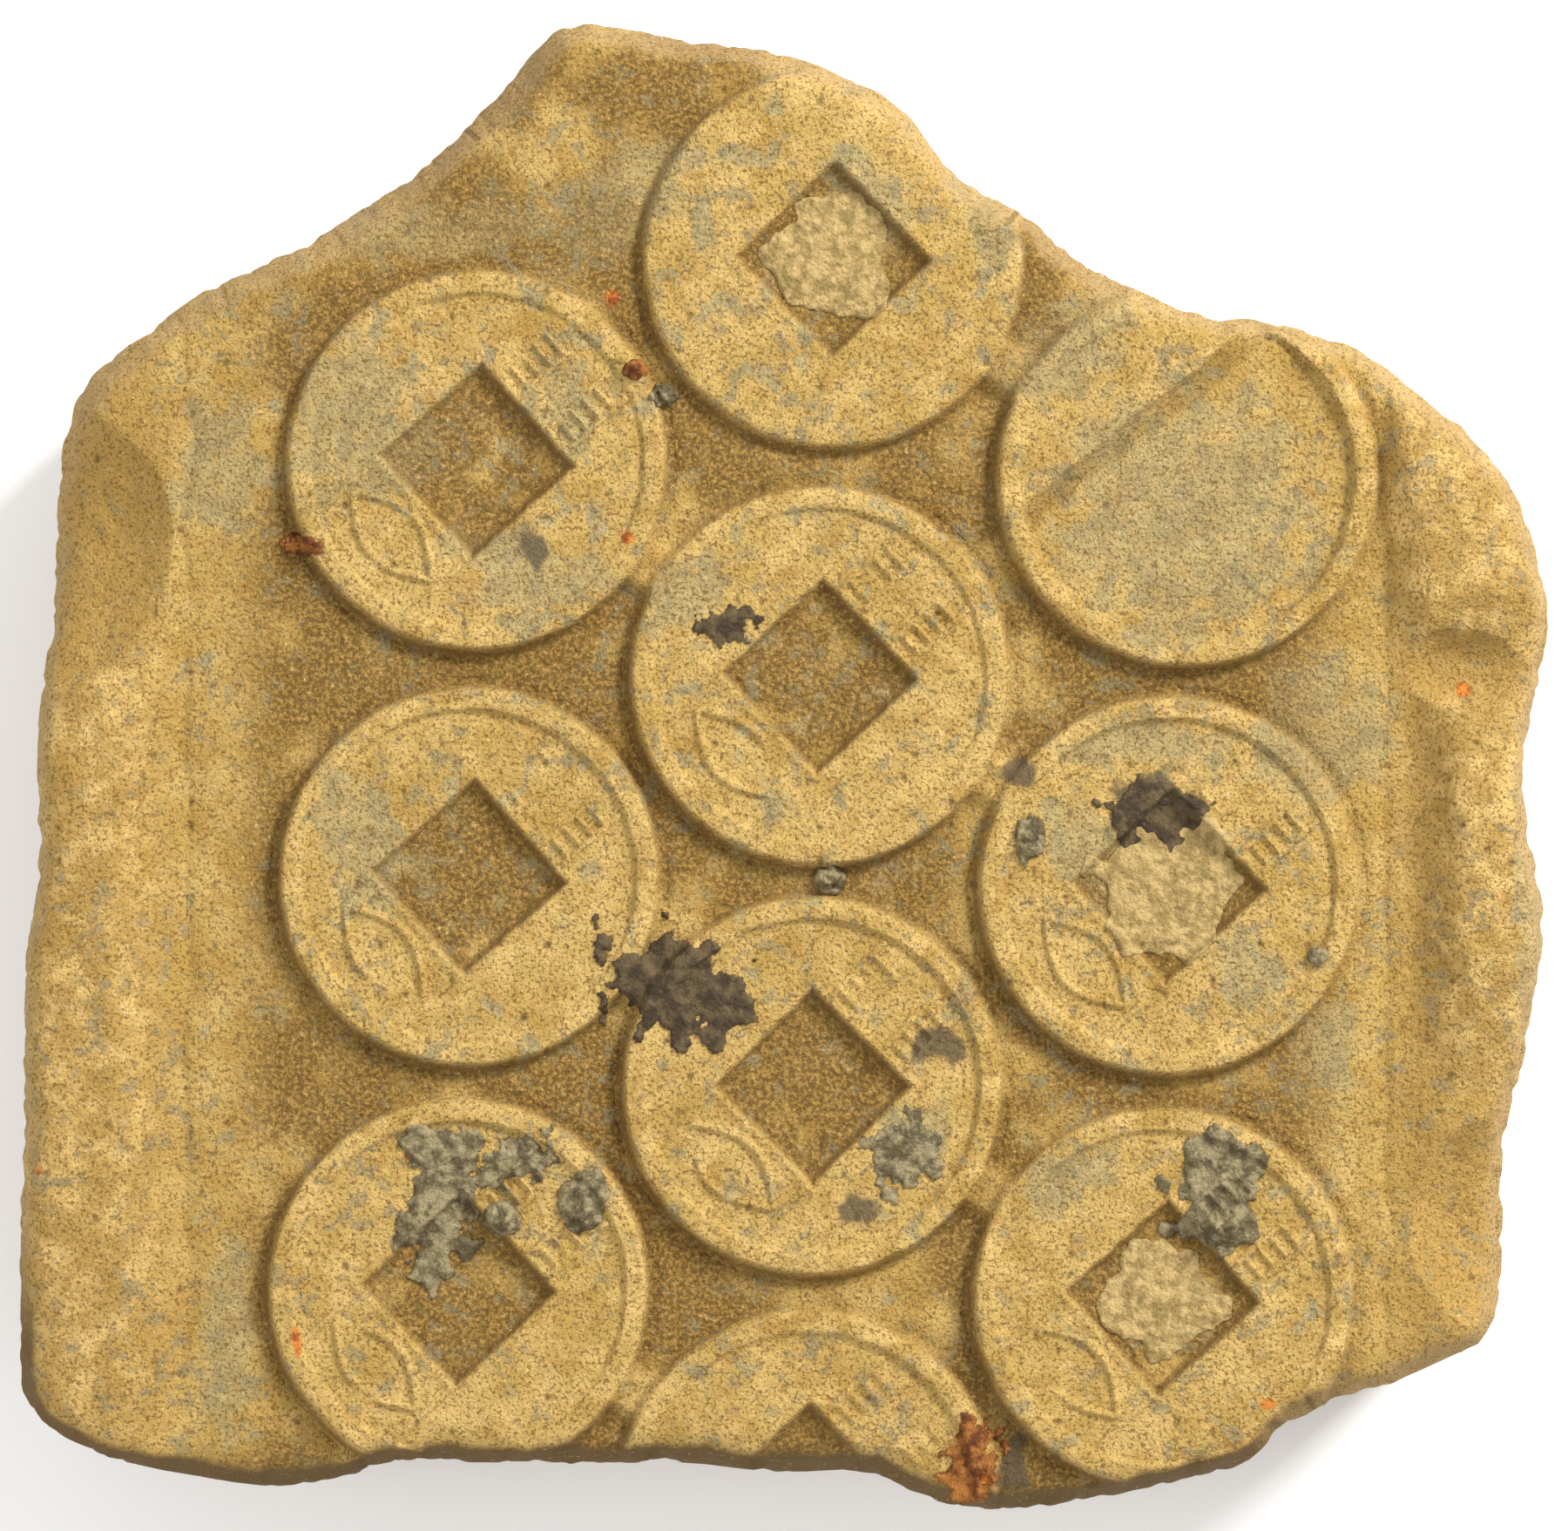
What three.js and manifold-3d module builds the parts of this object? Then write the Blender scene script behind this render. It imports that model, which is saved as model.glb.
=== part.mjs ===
// A broken clay mould for square-holed coins: a coarse clay backing, a fine clay facing with the coins
// in relief, and the slag, crust, soot and earth that stuck to its face.
// Millimetres. +Z is up and the coins face up. +Y runs from the lower break to the upper one.
import * as THREE from 'three';
import { mergeVertices } from 'three/addons/utils/BufferGeometryUtils.js';
import loadManifold from 'manifold-3d';

const wasm = await loadManifold();
wasm.setup();

// The two layers of clay
const backingThickness = 17.5;
const facingThickness = 8;
const undersideRound = 3.2;

// One coin
const coinDiameter = 25.5;
const coinRelief = 1.25;
const rimWidth = 1.5;
const fieldDrop = 0.4;
const coinDraft = 0.35;
const holeSide = 9.1;
const holeDraft = 0.3;
const holeFloorDrop = 0.1;

// The coins stand in three staggered columns that lean a little. One gap is left up a column and
// another in the step across to the next column.
const rowGap = 2.3;
const stepGap = 1.9;
const columnLean = 0.55;

// The bridges that join one coin to the next
const bridgeWidth = 2.3;
const bridgeHeight = 0.85;
const bridgeBite = 0.9;

// The flake that has left the face of one coin
const flakeFromCentre = 5.9;
const flakeAngle = 40.5;
const flakeFloor = 0.45;

// A margin's rounded top is this wide, its section runs out past the outline and down into the panel
const marginTop = 2;
const marginReach = 12;
const marginRoot = 1;

// What sits on the clay
const seatGap = 0.3;
const crustThickness = 0.55;
const crustReach = 1.5;
const earthThickness = 0.6;
const earthClearance = 0.35;
const earthDraft = 0.5;

// How finely round and broken forms are cut
const coinSteps = 44;
const outlineSteps = 150;

const panelHeight = backingThickness + facingThickness;
const coinRadius = coinDiameter / 2;
const holeCorner = holeSide / Math.SQRT2;
const rowPitch = coinDiameter + rowGap;
const stepPitch = coinDiameter + stepGap;
const columnPitch = Math.sqrt(stepPitch ** 2 - (rowPitch / 2) ** 2);
const above = 6;
const farOut = 200;

// Places on the lattice, then what the hand that set them added. wear takes the rim down to the field.
const coins = {
  top: { column: 0, row: 1, shift: [0.35, 0.3], turn: -1, wear: 0.85 },
  upper_left: { column: -1, row: 0.5, shift: [0.3, 0.6], turn: -3, wear: 0.3 },
  upper_right: { column: 1, row: 0.5, shift: [0.8, -0.5], turn: -3, wear: 0, flaked: true },
  centre: { column: 0, row: 0, shift: [0, 0], turn: -1.7, wear: 0.15 },
  mid_left: { column: -1, row: -0.5, shift: [0.3, 0.4], turn: -3.5, wear: 0 },
  mid_right: { column: 1, row: -0.5, shift: [0.2, -0.2], turn: -2, wear: 0 },
  lower_centre: { column: 0, row: -1, shift: [0.05, 0.2], turn: 0, wear: 0 },
  lower_left: { column: -1, row: -1.5, shift: [0.2, 0.5], turn: -2, wear: 0 },
  lower_right: { column: 1, row: -1.5, shift: [0.3, -0.1], turn: -3.5, wear: 0 },
  bottom: { column: 0, row: -2, shift: [0.3, 0.2], turn: -1, wear: 0 },
};
const bridges = [
  ['upper_left', 'centre'],
  ['centre', 'mid_right'],
  ['mid_left', 'lower_centre'],
  ['lower_centre', 'lower_right'],
  ['lower_left', 'bottom'],
  ['top', 'upper_right'],
];

// How far the top edge lies inside the outline, and how far the break wanders from a smooth face
const lowerBreak = { edge: 1.6, rough: 0.5 };
const lowerRightBreak = { edge: 1.4, rough: 0.4 };
const rightSide = { edge: 1.1, rough: 0.2 };
const upperRightBreak = { edge: 1.4, rough: 0.4 };
const topBreak = { edge: 1.5, rough: 0.4 };
const upperLeftBreak = { edge: 2.1, rough: 0.5 };
const leftSide = { edge: 0.7, rough: 0.2 };

// The broken outline, anticlockwise as seen from above, by its places as seen from the coin it passes
const outline = [
  { by: 'lower_left', side: lowerBreak, points: [
    [-26.9, -10.6], [-22.5, -12.1], [-14.6, -13.6], [-8.3, -13.4], [-5.3, -12.2], [1.9, -12.1]] },
  { by: 'bottom', side: lowerBreak, points: [
    [-13.4, 2], [-8.8, 2.1], [-3.4, 1.5], [4.5, 1.4], [6, 0.5], [8.9, -0.5], [11.9, -1.2]] },
  { by: 'lower_right', side: lowerBreak, points: [
    [-6.6, -14.4], [-1.8, -13.4], [2.8, -12.5], [5.7, -11.6]] },
  { by: 'lower_right', side: lowerRightBreak, points: [
    [8.6, -8.9], [11.2, -7.4], [13.6, -6.9], [18.2, -5], [22.5, -2.8]] },
  { by: 'lower_right', side: rightSide, points: [[23.2, 0.4], [23.3, 5.1], [23.6, 11.6]] },
  { by: 'mid_right', side: rightSide, points: [
    [24.1, -12.1], [25, -6.8], [25.5, -3.2], [24.6, 3.6], [24.2, 8]] },
  { by: 'upper_right', side: rightSide, points: [
    [23.8, -14.8], [24.8, -10], [24, -5.4], [22.8, -1.6]] },
  { by: 'upper_right', side: upperRightBreak, points: [
    [19.8, 2.6], [15.1, 6.4], [12.4, 8.7], [7.8, 10.2], [4.8, 10.9], [2.1, 10.9], [-4, 13.2]] },
  { by: 'top', side: upperRightBreak, points: [
    [16.4, 0.4], [12.8, 3.5], [10.1, 4.8], [6.6, 8], [4.2, 11.1]] },
  { by: 'top', side: topBreak, points: [
    [-3, 14], [-9.2, 15.1], [-12.3, 15.5], [-16.1, 16.5], [-18.6, 15.8]] },
  { by: 'upper_left', side: upperLeftBreak, points: [
    [3.2, 27.4], [1.4, 25.3], [-1.2, 22.6], [-4.7, 19.6], [-10.5, 15.6], [-14.6, 13.7],
    [-18.7, 11.7], [-23.1, 8.6], [-26.5, 5.9]] },
  { by: 'upper_left', side: leftSide, points: [
    [-27.7, 3.8], [-28.5, 0.2], [-28.8, -4.2], [-29.2, -12.5]] },
  { by: 'mid_left', side: leftSide, points: [
    [-29.4, 8.6], [-29.2, 0.2], [-30, -4.5], [-30.3, -10.4]] },
  { by: 'lower_left', side: leftSide, points: [[-29.7, 10.3], [-29.9, -3.8], [-29.6, -7.4]] },
];

// The raised margins, from the lower end up. Each row gives the coin beside it, how far above that
// coin's centre the row lies, its inner foot, its crest, and its height at the crest and at the side.
const leftMargin = [
  ['lower_left', -16.9, -17.7, -23.6, 0.8, 0.2],
  ['lower_left', -2.9, -18.1, -24.6, 1.2, 0.5],
  ['lower_left', 8.1, -18.3, -25.1, 1.7, 1.2],
  ['mid_left', -4.5, -19.4, -26.3, 2, 1.4],
  ['mid_left', 7.5, -19.8, -25.8, 2.1, 1],
  ['upper_left', -14.6, -19.5, -23.8, 1.3, 0.2],
  ['upper_left', -10.6, -18.9, -21.3, 0.1, 0.05],
];
const rightMargin = [
  ['lower_right', -6.2, 16.1, 20.6, 0.2, 0.05],
  ['lower_right', 13.8, 16.1, 21.9, 0.7, 0.3],
  ['mid_right', -4.9, 16.1, 22.3, 2.5, 2],
  ['mid_right', 6.1, 16.3, 21.9, 2.5, 1.6],
  ['mid_right', 12.1, 15.7, 21.1, 1.5, 0.8],
  ['upper_right', -11.4, 13.4, 19, 0.9, 0.3],
  ['upper_right', -7.9, 12.8, 18.5, 2, 1.4],
  ['upper_right', 0.6, 12, 17, 1.9, 1],
  ['upper_right', 9.6, 11, 15, 1, 0.4],
];

// Hollows where the margins and the face have broken or worn away: where, as seen from a coin, how
// far its centre stands over the panel, and its three radii
const hollows = [
  { by: 'upper_left', at: [-32.8, -5.1], over: 3.4, radii: [14.5, 12, 6.4] },
  { by: 'lower_right', at: [27.6, 4.8], over: 3.2, radii: [13, 9.5, 6] },
  { by: 'upper_left', at: [-13.8, 16.4], over: 5.4, radii: [12, 9, 6.2] },
  { by: 'upper_right', at: [18, -12.9], over: 3.2, radii: [7, 3.2, 3.6] },
];

// Materials
const finish = (name, color, roughness) => (
  new THREE.MeshStandardMaterial({ name, color, roughness, metalness: 0 })
);
const fineClay = finish('fine fired clay', 0xc9a868, 0.92);
const coarseClay = finish('coarse fired clay', 0xb58d52, 0.96);
const slag = finish('grey slag', 0x6f6a5e, 0.7);
const soot = finish('brown soot crust', 0x4f4536, 0.8);
const rust = finish('rust crust', 0xa0561f, 0.85);
const earth = finish('burial earth', 0xab9368, 0.97);

// Turns a closed three.js geometry into a solid that can be joined and cut.
function solidOf(geometry) {
  const bare = new THREE.BufferGeometry();
  bare.setAttribute('position', geometry.getAttribute('position'));
  bare.setIndex(geometry.index);
  const merged = mergeVertices(bare, 1e-4);
  return new wasm.Manifold(new wasm.Mesh({
    numProp: 3,
    vertProperties: new Float32Array(merged.getAttribute('position').array),
    triVerts: new Uint32Array(merged.index.array),
  }));
}

// Turns a solid back into a named mesh with its material.
function meshOf(name, solid, material) {
  const data = solid.getMesh();
  const geometry = new THREE.BufferGeometry();
  geometry.setAttribute('position', new THREE.BufferAttribute(data.vertProperties, 3));
  geometry.setIndex(new THREE.BufferAttribute(data.triVerts, 1));
  geometry.computeVertexNormals();
  const mesh = new THREE.Mesh(geometry, material);
  mesh.name = name;
  return mesh;
}

// A closed skin through rings of points, each ring anticlockwise as seen from where the loft ends.
function loft(rings) {
  const steps = rings[0].length;
  const points = rings.flat();
  const faces = [];
  for (let ring = 0; ring < rings.length - 1; ring += 1) {
    for (let i = 0; i < steps; i += 1) {
      const a = ring * steps + i;
      const b = ring * steps + (i + 1) % steps;
      faces.push(a, b, b + steps, a, b + steps, a + steps);
    }
  }
  const middle = (ring) => (
    ring.reduce((sum, point) => sum.add(point), new THREE.Vector3()).divideScalar(steps)
  );
  const last = (rings.length - 1) * steps;
  points.push(middle(rings[0]), middle(rings[rings.length - 1]));
  for (let i = 0; i < steps; i += 1) {
    const next = (i + 1) % steps;
    faces.push(points.length - 2, next, i);
    faces.push(points.length - 1, last + i, last + next);
  }
  const geometry = new THREE.BufferGeometry().setFromPoints(points);
  geometry.setIndex(faces);
  return geometry;
}

function coinCentre(name) {
  const { column, row, shift } = coins[name];
  return new THREE.Vector2(
    column * columnPitch + row * columnLean + shift[0],
    row * rowPitch + shift[1],
  );
}

// A place given as seen from a coin's centre
function besideCoin(name, x, y, z = 0) {
  const centre = coinCentre(name);
  return new THREE.Vector3(centre.x + x, centre.y + y, z);
}

// The outline as evenly spaced stations: where each is, which way is inward, and its side's character.
function outlineStations() {
  const places = outline.flatMap(({ by, points }) => points.map(([x, y]) => besideCoin(by, x, y)));
  const characters = outline.flatMap(({ side, points }) => (
    points.map(() => new THREE.Vector3(side.edge, side.rough, 0))
  ));
  const path = new THREE.CatmullRomCurve3(places, true, 'centripetal');
  const character = new THREE.CatmullRomCurve3(characters, true, 'catmullrom', 0);
  const stations = [];
  for (let i = 0; i < outlineSteps; i += 1) {
    const along = path.getUtoTmapping(i / outlineSteps);
    const tangent = path.getTangent(along);
    const { x: edge, y: rough } = character.getPoint(along);
    stations.push({
      place: path.getPoint(along),
      inward: new THREE.Vector3(-tangent.y, tangent.x, 0).normalize(),
      edge: Math.max(edge, 0.3),
      rough: Math.max(rough, 0.1),
    });
  }
  return stations;
}
const stations = outlineStations();

// How far a break wanders inward at a station, from 0 to 1, as a sum of waves that close on themselves.
function wander(step, level) {
  const turn = (step / outlineSteps) * Math.PI * 2;
  const waves = Math.sin(turn * 19 + level * 2.1) + Math.sin(turn * 31 - level * 1.7)
    + 0.7 * Math.sin(turn * 47 + level * 4.3);
  return (waves / 2.7 + 1) / 2;
}

// One ring of the outline at height z, drawn in by a share of the edge's inset and a share of the
// break's roughness.
function ringAt(z, edgeShare, roughShare, extra = 0) {
  return stations.map((station, step) => {
    const inset = station.edge * edgeShare + station.rough * roughShare * wander(step, z) + extra;
    return station.place.clone().addScaledVector(station.inward, inset).setZ(z);
  });
}

// A coin in relief: a revolved disc with a rim and a lower field, its root sunk in the panel.
function coinDisc(name) {
  const { wear } = coins[name];
  const root = 1;
  const field = coinRelief - fieldDrop;
  const rim = field + fieldDrop * (1 - wear) + 0.02;
  const profile = [
    [0, -root],
    [coinRadius + coinDraft, -root],
    [coinRadius + coinDraft, 0],
    [coinRadius - coinDraft, rim],
    [coinRadius - rimWidth, rim],
    [coinRadius - rimWidth - coinDraft, field],
    [0, field],
  ].map(([radius, height]) => new THREE.Vector2(radius, height));
  const geometry = new THREE.LatheGeometry(profile, coinSteps);
  const place = coinCentre(name);
  geometry.rotateX(Math.PI / 2);
  geometry.translate(place.x, place.y, panelHeight);
  return solidOf(geometry);
}

// A square column with tapered walls and its corners on the axes, as the recess and the earth in it.
function squareColumn(name, bottom, top, corner, draft) {
  const height = top - bottom;
  const geometry = new THREE.CylinderGeometry(corner + draft * height, corner, height, 4);
  const place = coinCentre(name);
  geometry.rotateX(Math.PI / 2);
  geometry.rotateZ(THREE.MathUtils.degToRad(coins[name].turn));
  geometry.translate(place.x, place.y, panelHeight + (top + bottom) / 2);
  return solidOf(geometry);
}

// A bridge between two coins: a low bar with sloping sides, from rim to rim.
function bridge(from, to) {
  const start = coinCentre(from);
  const along = coinCentre(to).sub(start);
  const length = along.length() - 2 * coinRadius + 2 * bridgeBite;
  const half = bridgeWidth / 2;
  const section = new THREE.Shape([
    new THREE.Vector2(-half - coinDraft, -1),
    new THREE.Vector2(half + coinDraft, -1),
    new THREE.Vector2(half + coinDraft, 0),
    new THREE.Vector2(half - coinDraft, bridgeHeight),
    new THREE.Vector2(-half + coinDraft, bridgeHeight),
    new THREE.Vector2(-half - coinDraft, 0),
  ]);
  const geometry = new THREE.ExtrudeGeometry(section, { depth: length, bevelEnabled: false });
  geometry.translate(0, 0, coinRadius - bridgeBite);
  geometry.rotateX(Math.PI / 2);
  geometry.rotateZ(along.angle() + Math.PI / 2);
  geometry.translate(start.x, start.y, panelHeight);
  return solidOf(geometry);
}

// A raised margin along one side, lofted from section to section. outward is -1 left and 1 right.
function margin(rows, outward) {
  const sections = rows.map(([by, y, foot, crest, height, sideHeight]) => {
    const side = crest + marginReach * outward;
    const across = [
      [foot, -marginRoot],
      [side, -marginRoot],
      [side, sideHeight],
      [crest + marginTop * outward, height * 0.85],
      [crest, height],
      [foot, 0],
    ];
    return across.map(([x, z]) => besideCoin(by, x, y, panelHeight + z));
  });
  if (outward > 0) {
    sections.reverse();
  }
  return solidOf(loft(sections));
}

// A worn hollow, as a flattened ball to be taken away.
function hollow({ by, at, over, radii }) {
  const geometry = new THREE.SphereGeometry(1, 20, 12);
  geometry.rotateX(Math.PI / 2);
  geometry.scale(...radii);
  geometry.translate(...besideCoin(by, at[0], at[1], panelHeight + over));
  return solidOf(geometry);
}

// The part of a coin's face that has flaked off, on one side of a straight step.
function flake(name) {
  const disc = new THREE.CylinderGeometry(coinRadius - rimWidth, coinRadius - rimWidth, above, coinSteps);
  disc.rotateX(Math.PI / 2);
  disc.translate(0, 0, above / 2);
  const halfPlane = new THREE.BoxGeometry(coinDiameter * 2, coinDiameter * 2, above * 3);
  halfPlane.translate(0, flakeFromCentre - coinDiameter, 0);
  halfPlane.rotateZ(THREE.MathUtils.degToRad(flakeAngle));
  const place = coinCentre(name);
  return solidOf(disc).intersect(solidOf(halfPlane))
    .translate([place.x, place.y, panelHeight + flakeFloor]);
}

function backing() {
  const rings = [
    ringAt(0, 0.2, 0.6, undersideRound),
    ringAt(undersideRound * 0.35, 0.2, 0.8, undersideRound * 0.3),
    ringAt(undersideRound, 0.1, 0.8, 0.2),
    ringAt(backingThickness * 0.45, -0.1, 1),
    ringAt(backingThickness * 0.75, 0, 1.2),
    ringAt(backingThickness, 0, 0.4),
  ];
  return solidOf(loft(rings));
}

function facing() {
  const top = panelHeight + above;
  const bounds = solidOf(loft([
    ringAt(backingThickness, 0.3, 0.5),
    ringAt(backingThickness + facingThickness * 0.35, 0.2, 1.2),
    ringAt(backingThickness + facingThickness * 0.7, 0.3, 0.6),
    ringAt(panelHeight - 0.3, 1, 0.4),
    ringAt(top, 1, 0.4, above * 0.5),
  ]));
  const slab = new THREE.BoxGeometry(farOut, farOut, facingThickness);
  slab.translate(0, 0, backingThickness + facingThickness / 2);
  let face = solidOf(slab)
    .add(margin(leftMargin, -1))
    .add(margin(rightMargin, 1));
  for (const worn of hollows) {
    face = face.subtract(hollow(worn));
  }
  for (const name of Object.keys(coins)) {
    face = face.add(coinDisc(name));
  }
  for (const [from, to] of bridges) {
    face = face.add(bridge(from, to));
  }
  for (const name of Object.keys(coins)) {
    if (coins[name].flaked) {
      face = face.subtract(flake(name));
    } else {
      face = face.subtract(squareColumn(name, -holeFloorDrop, above, holeCorner, holeDraft));
    }
  }
  return face.intersect(bounds);
}
const face = facing();

// Earth that stayed in a square recess, flat on its floor and clear of its walls.
function earthPlug({ on, thickness = earthThickness }) {
  const corner = holeCorner - earthClearance * Math.SQRT2;
  return squareColumn(on, -holeFloorDrop, thickness - holeFloorDrop, corner, -earthDraft);
}
const plugs = {
  earth_plug_top: { on: 'top', thickness: 0.75 },
  earth_plug_mid_right: { on: 'mid_right' },
  earth_plug_lower_right: { on: 'lower_right', thickness: 0.45 },
};

// What crusts and lumps lie on: the clay with the earth in its recesses.
const ground = Object.values(plugs).reduce((sum, spec) => sum.add(earthPlug(spec)), face);

// Where a crust or lump lies on a coin: a turn anticlockwise from +X, and a distance out from the
// coin's centre, in from the rim's inner edge, out from the middle of the rim, or out past the edge.
function placeOn({ on, turn, part, by }) {
  const radius = {
    middle: by,
    field: coinRadius - rimWidth - by,
    rim: coinRadius - rimWidth / 2 + by,
    panel: coinRadius + coinDraft + by,
  }[part];
  const angle = THREE.MathUtils.degToRad(turn);
  return besideCoin(on, radius * Math.cos(angle), radius * Math.sin(angle));
}
const partHeight = {
  middle: coinRelief - fieldDrop,
  field: coinRelief - fieldDrop,
  rim: coinRelief,
  panel: 0.3,
};

// An uneven, flattened ball of slag, let grow by a margin where it is used to keep others clear.
function ball(spec, grow = 0) {
  const { part, size, height, seed } = spec;
  const place = placeOn(spec);
  const geometry = new THREE.SphereGeometry(1, 12, 8);
  geometry.rotateX(Math.PI / 2);
  const points = geometry.getAttribute('position');
  for (let i = 0; i < points.count; i += 1) {
    const point = new THREE.Vector3().fromBufferAttribute(points, i);
    const swell = 1 + 0.12 * Math.sin(point.x * 3 * seed + 1) * Math.cos(point.y * 4 + seed);
    point.multiplyScalar(swell);
    points.setXYZ(i, point.x, point.y, point.z);
  }
  geometry.scale(size[0] / 2 + grow, size[1] / 2 + grow, height + grow);
  geometry.translate(place.x, place.y, panelHeight + partHeight[part]);
  return solidOf(geometry);
}

// A lump is a ball with its underside cut to what it lies on.
const lump = (spec) => ball(spec).subtract(ground.translate([0, 0, seatGap]));

// A crust follows the relief under it, inside a round-cornered blob that is given as radii at even
// turns about its place. It stays clear of the lumps that stand in it.
function crust(spec) {
  const { radii, around = [], thickness = crustThickness } = spec;
  const place = placeOn(spec);
  const corners = radii.map((radius, i) => {
    const turn = (i / radii.length) * Math.PI * 2;
    return new THREE.Vector2(radius * Math.cos(turn), radius * Math.sin(turn));
  });
  const round = new THREE.SplineCurve([...corners, corners[0]]);
  const shape = new THREE.Shape(round.getPoints(radii.length * 2).slice(0, -1));
  const column = new THREE.ExtrudeGeometry(shape, { depth: above, bevelEnabled: false });
  column.translate(place.x, place.y, panelHeight - crustReach);
  const skin = solidOf(column)
    .intersect(ground.translate([0, 0, seatGap + thickness]))
    .subtract(ground.translate([0, 0, seatGap]));
  return around.reduce((rest, name) => rest.subtract(ball(lumps[name], seatGap)), skin);
}

const lumps = {
  slag_ring_lower_left: {
    on: 'lower_left', turn: 96, part: 'field', by: 2.2, size: [4.6, 3.8], height: 0.9, seed: 1 },
  slag_bead_lower_left: {
    on: 'lower_left', turn: 58, part: 'middle', by: 5.4, size: [2.6, 2.6], height: 1.1, seed: 2 },
  slag_blister_lower_left: {
    on: 'lower_left', turn: 35, part: 'field', by: 0.9, size: [3, 4.4], height: 1.2, seed: 3 },
  slag_lump_lower_right: {
    on: 'lower_right', turn: 51, part: 'field', by: 4.3, size: [3.6, 3.2], height: 1.3, seed: 2 },
  slag_lump_mid_right: {
    on: 'mid_right', turn: 162, part: 'field', by: 1.4, size: [1.9, 3], height: 0.8, seed: 2 },
  slag_bead_mid_right: {
    on: 'mid_right', turn: -26, part: 'rim', by: -0.6, size: [1.3, 1.3], height: 0.8, seed: 1 },
  slag_bead_centre: {
    on: 'centre', turn: -87, part: 'panel', by: 0.6, size: [2.1, 2], height: 1.6, seed: 3 },
  slag_grain_upper_left: {
    on: 'upper_left', turn: 19, part: 'panel', by: 0.4, size: [1.7, 1.5], height: 1.5, seed: 1 },
  rust_grain_upper_left: {
    on: 'upper_left', turn: 30, part: 'rim', by: 0.1, size: [1.6, 1.5], height: 0.8, seed: 2 },
  rust_grain_left: {
    on: 'upper_left', turn: 205, part: 'panel', by: 0.3, size: [2.6, 1.5], height: 1.5, seed: 3 },
};
const crusts = {
  soot_smear: {
    on: 'lower_centre', turn: 145, part: 'field', by: 0.7,
    radii: [4.6, 3.4, 2.6, 4, 2.6, 3.4, 2.8, 3.6] },
  soot_patch_mid_right: {
    on: 'mid_right', turn: 100, part: 'middle', by: 4.5, radii: [2.6, 3, 2.2, 3.4, 2.4, 3] },
  soot_smear_centre: {
    on: 'centre', turn: 151, part: 'field', by: 4.3, radii: [2, 1, 1.8, 1] },
  slag_skin_lower_left: {
    on: 'lower_left', turn: 108, part: 'middle', by: 4.4, radii: [2.8, 3.2, 3, 2.8, 2.9, 3.4],
    around: ['slag_ring_lower_left', 'slag_bead_lower_left'] },
  slag_wisp_lower_left: {
    on: 'lower_left', turn: 65, part: 'field', by: 1.8, radii: [2.1, 1.7, 1.8, 2.2],
    around: ['slag_ring_lower_left', 'slag_bead_lower_left', 'slag_blister_lower_left'] },
  slag_skin_lower_centre: {
    on: 'lower_centre', turn: -35, part: 'field', by: 3.8, radii: [2.4, 2.6, 2.2, 2.8, 2] },
  slag_skin_lower_right: {
    on: 'lower_right', turn: 62, part: 'field', by: 3.2, radii: [3, 3.2, 4, 3, 2.9, 4.2],
    around: ['slag_lump_lower_right'] },
  rust_bloom: {
    on: 'bottom', turn: 16, part: 'field', by: 0.3, radii: [3, 3.4, 3.2, 3.6, 3, 2.8] },
};
const finishOf = (name) => {
  if (name.startsWith('slag')) {
    return slag;
  }
  return name.startsWith('soot') ? soot : rust;
};

// The whole object, moved so that the middle of its outline lies on the axis.
const group = new THREE.Group();
const box = new THREE.Box3().setFromPoints(stations.map((station) => station.place));
const middle = box.getCenter(new THREE.Vector3());
group.position.set(-middle.x, -middle.y, 0);
group.add(meshOf('clay_backing', backing(), coarseClay));
group.add(meshOf('clay_facing', face, fineClay));
for (const [name, spec] of Object.entries(crusts)) {
  group.add(meshOf(name, crust(spec), finishOf(name)));
}
for (const [name, spec] of Object.entries(lumps)) {
  group.add(meshOf(name, lump(spec), finishOf(name)));
}
for (const [name, spec] of Object.entries(plugs)) {
  group.add(meshOf(name, earthPlug(spec), earth));
}

export default group;
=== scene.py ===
# A broken clay mould for square-holed coins: fine surfaces and finishes for its modelled solids.
# Lengths are millimetres until a mesh is written. +Z is up, the coins face up, their columns run along Y.
import bpy
import numpy as np
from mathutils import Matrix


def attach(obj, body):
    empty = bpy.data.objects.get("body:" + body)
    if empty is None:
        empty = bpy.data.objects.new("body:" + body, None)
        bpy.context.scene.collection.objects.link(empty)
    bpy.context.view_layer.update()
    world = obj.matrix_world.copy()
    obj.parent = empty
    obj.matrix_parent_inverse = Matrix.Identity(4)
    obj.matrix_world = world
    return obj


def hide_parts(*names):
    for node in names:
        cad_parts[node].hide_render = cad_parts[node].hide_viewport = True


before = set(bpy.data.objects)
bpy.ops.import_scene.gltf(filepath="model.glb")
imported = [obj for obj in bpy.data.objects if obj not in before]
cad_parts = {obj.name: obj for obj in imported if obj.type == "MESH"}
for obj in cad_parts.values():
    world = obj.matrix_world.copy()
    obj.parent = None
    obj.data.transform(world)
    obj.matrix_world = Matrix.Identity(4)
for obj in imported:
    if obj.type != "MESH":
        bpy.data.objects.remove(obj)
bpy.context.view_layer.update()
MM = 0.001

# The two clays, and the gap between them
panel_height = 25.5
backing_height = 17.5
backing_radius = 46
clay_gap = 0.02

# The face is drawn on grids of these cells. Neighbouring pieces lap and dip at a seam.
coin_cell = 0.135
rail_cell = 0.15
panel_cell = 0.216
crust_cells = (0.05, 0.12)
seam_overlap = 0.25
seam_dip = 0.04
rail_seam = 39.5
rail_top = 36
grid_reach = (52, 50.4)

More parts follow.
